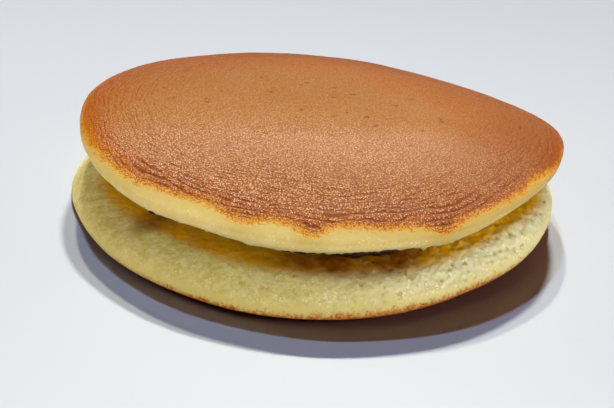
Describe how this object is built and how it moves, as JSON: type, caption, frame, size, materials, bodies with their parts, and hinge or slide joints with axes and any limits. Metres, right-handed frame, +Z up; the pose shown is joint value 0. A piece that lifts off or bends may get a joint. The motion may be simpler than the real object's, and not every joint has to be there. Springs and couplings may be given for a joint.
{
  "type": "dorayaki",
  "caption": "Round sweet sandwich of griddle cakes, browned faces outward, with a layer of dark bean paste showing in the gap at the front.",
  "frame": {"origin": "under the middle of the whole, on the surface it rests on", "axes": "+Z up; the side where the cakes gape faces -Y, with +X to the right of someone looking at it"},
  "size_m": [0.0991, 0.0982, 0.0246],
  "materials": {
    "pancake_top": "browned griddle cake, fine grained crust with a pale sponge rim",
    "pancake_bottom": "pale open sponge, browned underneath",
    "bean_paste": "moist dark red bean paste"
  },
  "bodies": {
    "root": {"pancake_top": "pancake_top", "pancake_bottom": "pancake_bottom", "bean_paste": "bean_paste"}
  },
  "joints": []
}
